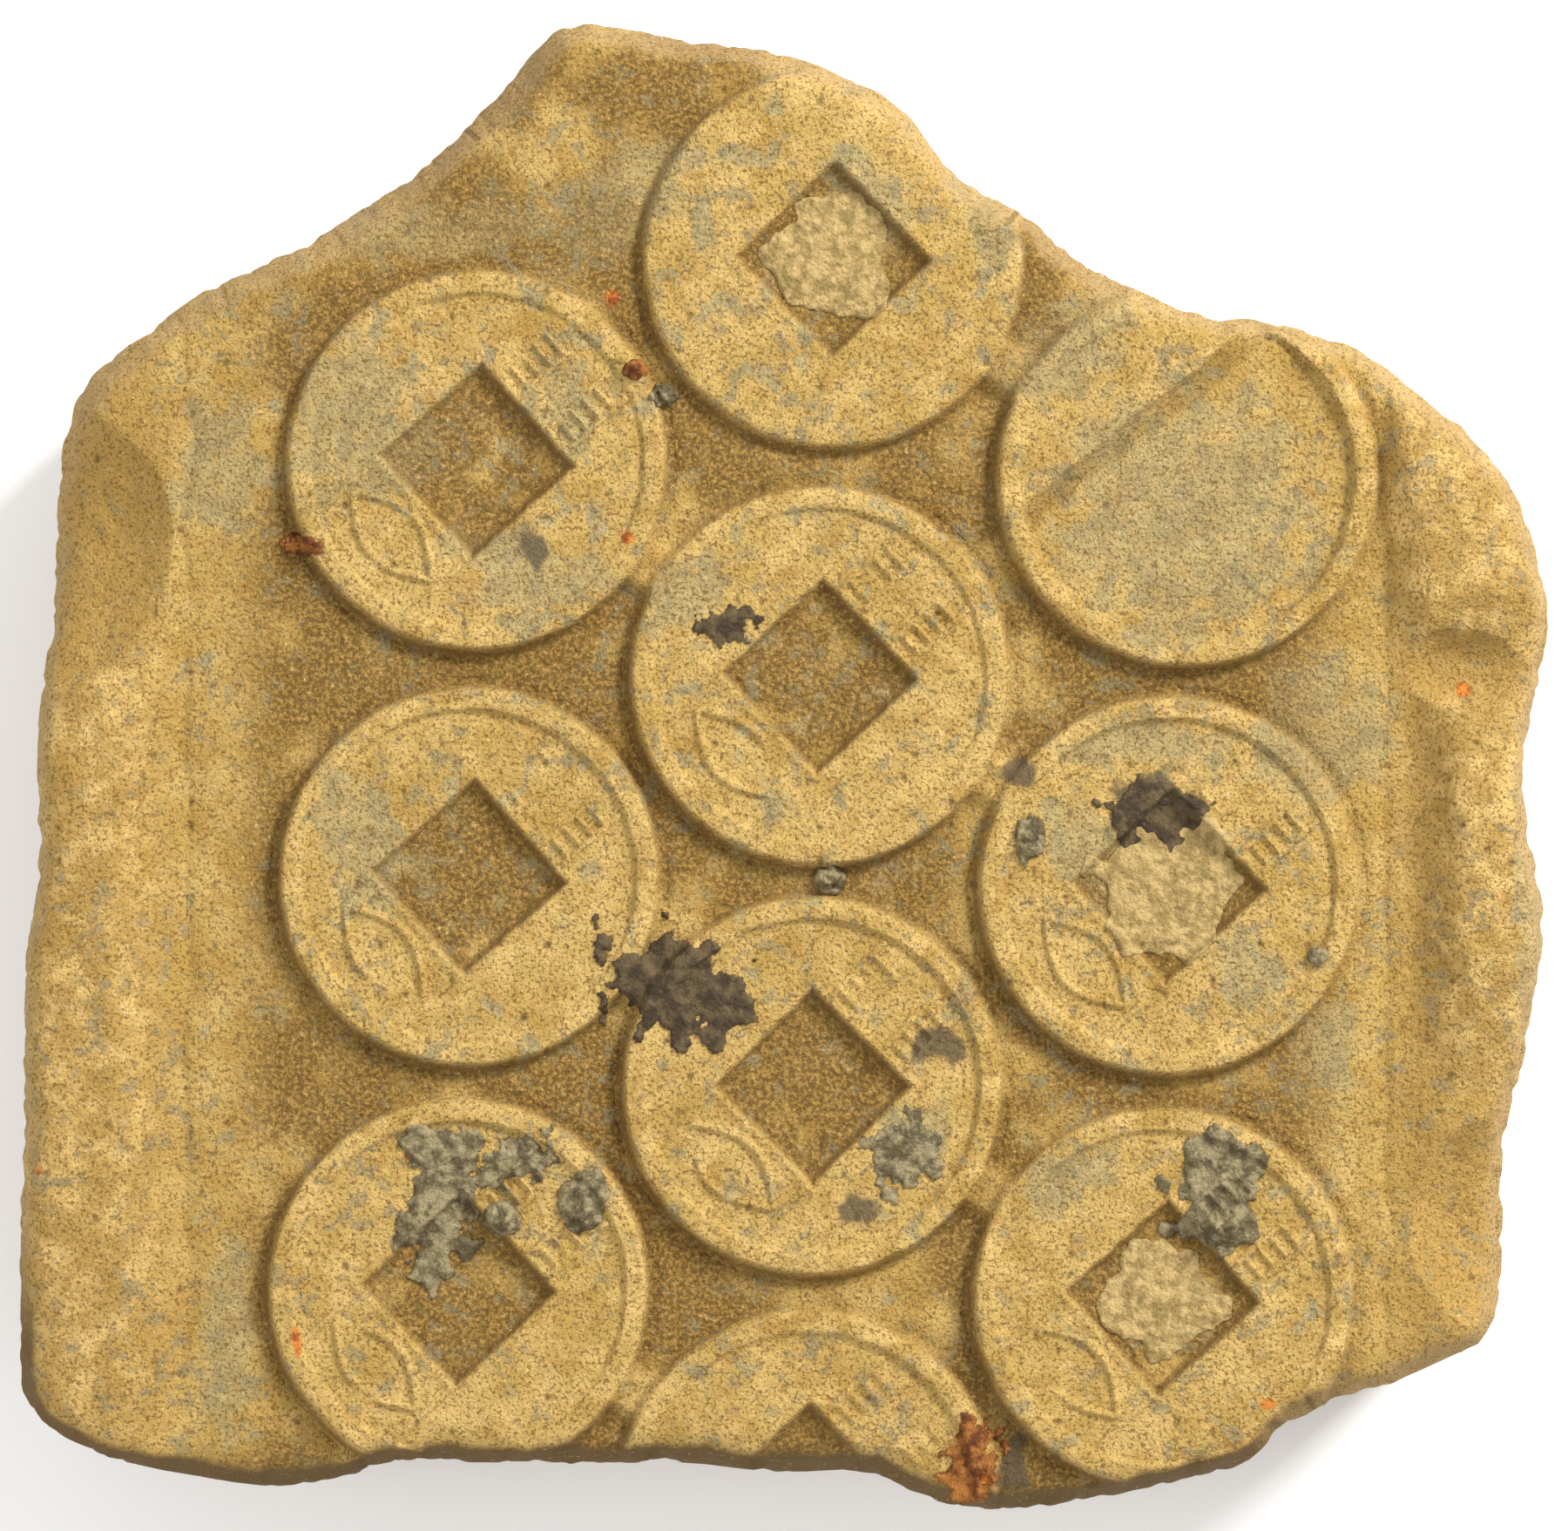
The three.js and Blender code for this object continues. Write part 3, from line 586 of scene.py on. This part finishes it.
def wall_down(piece, edge):
    """Extrudes a tile's edge down to the backing and closes it there. The wall is chipped and stands out
    where it lies on the outline, and is plain where a neighbour hides it."""
    top = points_of(piece)[edge]
    x, y = top[:, 0], top[:, 1]
    reach = lip(x, y)
    broken = (inside(x, y) - reach < 0.35)[:, None]
    outward = -np.stack(slope_of(inside, x, y), axis=1)
    foot = backing_height + clay_gap
    ring = top[:, :2]
    bpy.ops.object.mode_set(mode="EDIT")
    choose_open_edge()
    for level, (out, down) in enumerate(side_profile):
        bpy.ops.object.mode_set(mode="EDIT")
        bpy.ops.mesh.extrude_region_move(TRANSFORM_OT_translate={"value": (0, 0, -MM)})
        bpy.ops.object.mode_set(mode="OBJECT")
        moved = chosen_points(piece)
        points = points_of(piece)
        order = match_order(points[moved, :2], ring)
        chips = 0.4 * uneven(x, y + 3 * level, "side_chips") * min(1, level)
        shift = np.clip(reach * out + chips - 0.1, 0, reach)[:, None]
        ring = top[:, :2] + np.where(broken, outward * shift, 0)
        height = top[:, 2] + (foot - top[:, 2]) * down
        points[moved] = np.column_stack([ring, height])[order]
        place_points(piece, points)
    bpy.ops.object.mode_set(mode="EDIT")
    bpy.ops.mesh.fill(use_beauty=False)
    bpy.ops.object.mode_set(mode="OBJECT")


def colour(code):
    """An sRGB hex colour as linear light."""
    channels = [int(code[k:k + 2], 16) / 255 for k in (1, 3, 5)]
    return [c / 12.92 if c <= 0.04045 else ((c + 0.055) / 1.055) ** 2.4 for c in channels] + [1]


def add(tree, kind, inputs=None, **settings):
    """Adds a node with its settings, and gives each input a value or a link."""
    new = tree.nodes.new(kind)
    for name, value in settings.items():
        setattr(new, name, value)
    for socket, value in (inputs or {}).items():
        if isinstance(value, bpy.types.NodeSocket):
            tree.links.new(value, new.inputs[socket])
        else:
            new.inputs[socket].default_value = value
    return new


def new_material(name, roughness):
    material = bpy.data.materials.new(name)
    material.use_nodes = True
    tree = material.node_tree
    shader = tree.nodes["Principled BSDF"]
    shader.inputs["Roughness"].default_value = roughness
    shader.inputs["Specular IOR Level"].default_value = 0.25
    return material, tree, shader


def lumps(tree, size, low, high, detail=3.0):
    """A pattern of lumps of about size millimetres, as a share from 0 to 1 between two thresholds."""
    place = tree.nodes.get("Texture Coordinate") or add(tree, "ShaderNodeTexCoord")
    noise = add(tree, "ShaderNodeTexNoise", {
        "Vector": place.outputs["Object"], "Scale": 1 / (size * MM), "Detail": detail, "Roughness": 0.6})
    share = add(tree, "ShaderNodeMapRange", {
        "Value": noise.outputs[0], "From Min": low, "From Max": high}, interpolation_type="SMOOTHSTEP")
    return share.outputs[0]


def coat(tree, under, over, *shares):
    """One colour laid over another as far as every share allows. A share is a number or a pattern."""
    amount = shares[0]
    for share in shares[1:]:
        amount = add(tree, "ShaderNodeMath", {0: amount, 1: share}, operation="MULTIPLY",
                     use_clamp=True).outputs[0]
    return add(tree, "ShaderNodeMix", {0: amount, 6: under, 7: over}, data_type="RGBA").outputs[2]


def fine_relief(tree, shader, layers):
    """Fine relief from patterns of given depths in millimetres, one on another."""
    normal = None
    for height, depth in layers:
        inputs = {"Height": height, "Distance": depth * MM}
        if normal is not None:
            inputs["Normal"] = normal
        normal = add(tree, "ShaderNodeBump", inputs).outputs[0]
    tree.links.new(normal, shader.inputs["Normal"])


# The fine clay's colours
clay_codes = {
    "ochre": "#AA8A46",
    "pale_ochre": "#BC9E5D",
    "tan": "#A37C3C",
    "margin": "#A38142",
    "worn": "#CCAA68",
    "dark_sand": "#5A4218",
    "sand": "#947238",
    "pale_grey": "#A89768",
    "grey": "#8A7E5A",
    "fleck": "#857B5C",
    # The next colour is painted shade, for the coins' feet, holes and trough
    "painted_shade": "#6A4E22",
    # The next colour is chalky clay, partly a painted highlight on the edges
    "chalk_and_highlight": "#A88C5C",
    # The next colour is broken clay, darkened with painted shade
    "broken": "#66502E",
    "pit": "#6E5530",
    "temper": "#6E5022",
    # The next colour is a painted glint on pale sand grains
    "glint": "#E0C68C",
    "soot": "#564A38",
    "dark_rust": "#8A3E14",
    "rust": "#C8762A",
}
clay = {name: colour(code) for name, code in clay_codes.items()}
# Grains of temper and sand are 0.1 to 0.3 mm, and the finest are drawn coarser here, so that they show
sand_grain = 0.3
temper_grain = 0.24
bump_grain = 0.18


def fine_clay():
    """Fine fired clay: matt ochre skin with a sandy film in its low places, grey body showing in
    flaked patches, and dark grains of temper."""
    material, tree, shader = new_material("fine_fired_clay", 0.92)

    def mask(name):
        return add(tree, "ShaderNodeAttribute", attribute_name=name).outputs["Fac"]

    # The skin: mottled ochre, browner on the margins and paler where it is worn
    base = coat(tree, clay["ochre"], clay["pale_ochre"], lumps(tree, 5, 0.35, 0.65))
    base = coat(tree, base, clay["tan"], lumps(tree, 1.6, 0.48, 0.66), 0.6)
    base = coat(tree, base, clay["margin"], mask("margin"), 0.75)
    base = coat(tree, base, clay["worn"], mask("raised"), lumps(tree, 2.2, 0.4, 0.7))
    # Sand in the low places, and the grey body in patches and flecks
    sand = coat(tree, clay["dark_sand"], clay["sand"], lumps(tree, sand_grain, 0.44, 0.56))
    base = coat(tree, base, sand, mask("sandy"), 0.85)
    grey = coat(tree, clay["pale_grey"], clay["grey"], lumps(tree, 1.4, 0.35, 0.65))
    base = coat(tree, base, grey, mask("grey"), lumps(tree, 0.9, 0.2, 0.5, 5.0), 0.9)
    base = coat(tree, base, clay["fleck"], lumps(tree, 1.3, 0.55, 0.6, 5.0), lumps(tree, 6, 0.4, 0.6), 0.65)
    # Painted shade at the coins' feet and holes; on the broken edges, painted shade below and a chalky line,
    # partly painted highlight, elsewhere; and darker pits
    base = coat(tree, base, clay["painted_shade"], mask("shade_mask"), 0.75)
    base = coat(tree, base, clay["chalk_and_highlight"], mask("chalk_and_highlight"), 0.6)
    base = coat(tree, base, clay["broken"], mask("break"))
    base = coat(tree, base, clay["pit"], mask("pit"), 0.75)
    # Dark grains, pale sand grains with painted glints, then the stains
    base = coat(tree, base, clay["temper"], lumps(tree, temper_grain, 0.52, 0.62), 0.75)
    base = coat(tree, base, clay["glint"], lumps(tree, sand_grain, 0.66, 0.72, 2.0), 0.4)
    base = coat(tree, base, clay["soot"], mask("soot"), 0.85)
    rust = coat(tree, clay["dark_rust"], clay["rust"], lumps(tree, 0.6, 0.4, 0.6))
    base = coat(tree, base, rust, mask("rust"), 0.9)
    tree.links.new(base, shader.inputs["Base Color"])
    fine_relief(tree, shader, [(lumps(tree, 0.5, 0.3, 0.7, 4.0), 0.09),
                               (lumps(tree, bump_grain, 0.3, 0.7, 2.0), 0.05)])
    return material


def crusty(name, dark_code, light_code, size, roughness, depth):
    """A rough crust of two mixed colours, mottled at the given size."""
    material, tree, shader = new_material(name, roughness)
    dark, light = colour(dark_code), colour(light_code)
    base = coat(tree, dark, light, lumps(tree, size, 0.4, 0.62, 4.0))
    base = coat(tree, base, light, lumps(tree, sand_grain, 0.58, 0.68, 2.0), 0.5)
    base = coat(tree, base, dark, lumps(tree, 0.35, 0.6, 0.7, 2.0), 0.6)
    tree.links.new(base, shader.inputs["Base Color"])
    fine_relief(tree, shader, [(lumps(tree, size * 0.6, 0.3, 0.7, 4.0), depth),
                               (lumps(tree, 0.22, 0.3, 0.7, 2.0), 0.04)])
    return material


# Coarse clay is darker, duller and full of temper. Slag is dense and grey with a dull sheen, soot a
# dark brown crust, rust a crumbly red-brown one, and burial earth is pale, loose and quite matt.
finishes = {
    "fine_clay": fine_clay(),
    "coarse_clay": crusty("coarse_fired_clay", "#86683A", "#A07E48", 1.6, 0.96, 0.25),
    "slag": crusty("grey_slag", "#574B32", "#918360", 1.1, 0.7, 0.12),
    "soot": crusty("brown_soot_crust", "#3C3020", "#5E4E34", 1.1, 0.8, 0.08),
    "rust": crusty("rust_crust", "#5E3416", "#96602A", 0.9, 0.85, 0.1),
    "earth": crusty("burial_earth", "#8E7848", "#B79C66", 0.9, 0.95, 0.1),
}


def settle(piece, node, slot):
    """Smooths a finished piece, puts it in its solid's place, and gives it its finish."""
    bpy.ops.object.shade_smooth()
    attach(piece, "root")
    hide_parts(node)
    piece.data.materials.clear()
    piece.data.materials.append(finishes[slot])


def tile(name, x_range, y_range, cell, turn, beyond):
    """A closed plug of the facing: its top is the face, and its sides go down to the backing."""
    def region(x, y):
        return np.maximum(beyond(x, y) - seam_overlap, lip(x, y) - inside(x, y))

    piece = new_grid(name, x_range, y_range, cell, turn)
    edge = trim(piece, region)
    points = points_of(piece)
    x, y = points[:, 0], points[:, 1]
    relief, masks = face(x, y)
    room = inside(x, y) - lip(x, y)
    worn_edge = edge_wear * np.exp(-np.clip(room, 0, None) / edge_fade)
    dip = seam_dip * np.clip((beyond(x, y) + seam_overlap) / (2 * seam_overlap), 0, 1)
    points[:, 2] = panel_height + relief - worn_edge - dip
    place_points(piece, points)

    # Broken clay darkened with painted shade along the lower edge, which faces away from the light, and a
    # chalky line, partly painted highlight, along the others
    lower_edge = ease(-y - 0.25 * x * (x > 0), 30, 40)
    masks["break"] = (1 - ease(room, 0.0, 0.5)) * lower_edge
    masks["chalk_and_highlight"] = (1 - ease(room, 0.0, 0.8)) * (1 - lower_edge)
    for stain in ("rust", "soot"):
        masks[stain] = masks[stain] * ease(room, 0.2, 1.0)
    write_masks(piece, masks)
    wall_down(piece, edge)
    turn_faces_out()
    settle(piece, "clay_facing", "fine_clay")


def coin_region(name):
    cx, cy = coins[name][:2]
    return lambda x, y: np.hypot(x - cx, y - cy) - coin_tile


def panel_region(x, y):
    """Beyond the panel: on a whole coin's own tile, or on a side margin."""
    over = np.maximum(-rail_seam - x, x - rail_seam)
    for name in whole_coins:
        over = np.maximum(over, -coin_region(name)(x, y))
    return over


def facing():
    """The fine clay layer: whole coins, the panel with the partial coins, and the two margins."""
    half = coin_tile + 0.5
    for name in whole_coins:
        cx, cy, turn = coins[name][:3]
        tile("coin_" + name, (cx - half, cx + half), (cy - half, cy + half), coin_cell,
             np.radians(45 + turn), coin_region(name))
    reach_x, reach_y = grid_reach
    past_seam = rail_seam + 1
    before_seam = rail_seam - 0.5
    tile("panel", (-past_seam, past_seam), (-reach_y, reach_y), panel_cell, 0, panel_region)
    tile("left_rail", (-reach_x, -before_seam), (-reach_y, rail_top), rail_cell, 0,
         lambda x, y: x + rail_seam)
    tile("right_rail", (before_seam, reach_x), (-reach_y, rail_top), rail_cell, 0,
         lambda x, y: rail_seam - x)


def residue(name, place, height, rag):
    """A crust or lump that stuck to the face: its underside follows the clay, its edge is ragged, and
    its top swells and is pitted."""
    cx, cy, rx, ry = place[:4]
    small = min(rx, ry)
    seed = first_residue_seed + len(name)

    def beyond(x, y):
        return -small * (spot(x, y, place) + rag * rough(x, y, max(0.6, small * 0.8), seed))

    reach = 1.5 * max(rx, ry) + 0.3
    cell = max(crust_cells[0], min(crust_cells[1], small / 14))
    piece = new_grid(name + "_crust", (cx - reach, cx + reach), (cy - reach, cy + reach), cell)
    trim(piece, lambda x, y: np.maximum(beyond(x, y), 0.5 - inside(x, y)))
    bpy.ops.object.mode_set(mode="EDIT")
    bpy.ops.mesh.select_mode(type="FACE")
    bpy.ops.mesh.select_all(action="SELECT")
    bpy.ops.mesh.extrude_region_move(TRANSFORM_OT_translate={"value": (0, 0, MM)})
    bpy.ops.object.mode_set(mode="OBJECT")
    upper = chosen_points(piece)
    points = points_of(piece)
    x, y = points[:, 0], points[:, 1]
    depth = np.clip(-beyond(x, y), 0, None)
    swell = np.sqrt(np.clip(depth / (small * 0.75), 0, 1))
    pitted = 1 + 0.35 * rough(x, y, max(0.7, small * 0.5), seed + 7)
    top = np.maximum(crust_edge + height * swell * pitted, crust_least)
    points[:, 2] = panel_height + face(x, y)[0] + np.where(upper, top, -crust_root)
    place_points(piece, points)
    turn_faces_out()
    settle(piece, name, name.split("_")[0])


def rough_backing():
    """The coarse backing: its modelled body, merged, divided finely and broken in chips at its sides."""
    body = bpy.data.objects.new("backing_clay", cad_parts["clay_backing"].data.copy())
    bpy.context.scene.collection.objects.link(body)
    bpy.ops.object.select_all(action="DESELECT")
    body.select_set(True)
    bpy.context.view_layer.objects.active = body
    bpy.ops.object.mode_set(mode="EDIT")
    bpy.ops.mesh.select_all(action="SELECT")
    bpy.ops.mesh.remove_doubles(threshold=1e-6)
    bpy.ops.mesh.subdivide(number_cuts=7)
    bpy.ops.object.mode_set(mode="OBJECT")
    points = points_of(body)
    x, y, z = points.T
    radius = np.maximum(np.hypot(x, y), 1e-6)
    around = np.arctan2(y, x) * backing_radius
    chips = 0.45 + 0.5 * uneven(around, z * 1.3, "backing_chips") + 0.12 * uneven(around, z, "backing_grain")
    side = ease(radius, 20, 35) * ease(inside(x, y), 5, 1.5)
    cut = np.clip(chips, 0, deepest_chip) * side
    points[:, 0] -= x / radius * cut
    points[:, 1] -= y / radius * cut
    wear = 0.12 * uneven(x, y, "floor_wear") + 0.05 * uneven(x, y, "floor_grain")
    points[:, 2] = np.where(z < 0.01, np.clip(wear, 0, deepest_wear), z)
    place_points(body, points)
    settle(body, "clay_backing", "coarse_clay")


facing()
for name, (cx, cy, rx, ry, turn, height, rag) in residues.items():
    residue(name, (cx, cy, rx, ry, turn), height, rag)
rough_backing()

# A pale floor just under the mould
floor_gap = 0.2
paper_white = 0.96
bpy.ops.object.select_all(action="DESELECT")
bpy.ops.mesh.primitive_plane_add(size=3, location=(0, 0, -floor_gap * MM))
floor = bpy.context.object
floor.name = "floor"
paper, _, shader = new_material("white_paper", 0.9)
shader.inputs["Base Color"].default_value = (paper_white, paper_white, paper_white, 1)
floor.data.materials.append(paper)

# Soft light: a pale surround, a broad key lamp to the upper right and a weak fill
world = bpy.data.worlds.new("surround")
bpy.context.scene.world = world
world.use_nodes = True
surround = world.node_tree.nodes["Background"]
surround.inputs["Color"].default_value = (1, 1, 1, 1)
surround.inputs["Strength"].default_value = 0.7


def lamp(name, place, size, power):
    """A square lamp at a place in metres that shines at the mould."""
    bpy.ops.object.light_add(type="AREA", location=place)
    light = bpy.context.object
    light.name = name
    light.data.size = size
    light.data.energy = power
    aim = -light.location
    light.rotation_euler = aim.to_track_quat("-Z", "Y").to_euler()


lamp("key", (0.5, 0.45, 0.42), 0.22, 9.6)
lamp("fill", (-0.5, -0.2, 0.7), 0.6, 3.0)

# The camera looks straight down through a long lens. The picture's scale holds at scale_height.
photo_width = 1800
pixels_per_mm = 17.0
scale_height = 24
lens = 240
sensor = 36
distance = photo_width / pixels_per_mm * lens / sensor
bpy.ops.object.camera_add(location=(0, 0, 0), rotation=(0, 0, 0))
camera = bpy.context.object
camera.data.lens = lens
camera.data.sensor_width = sensor
camera.data.clip_start = 0.01
camera.data.clip_end = 10
camera.location = (0, 0, (distance + scale_height) * MM)
bpy.context.scene.camera = camera
bpy.context.scene.view_settings.view_transform = "Standard"
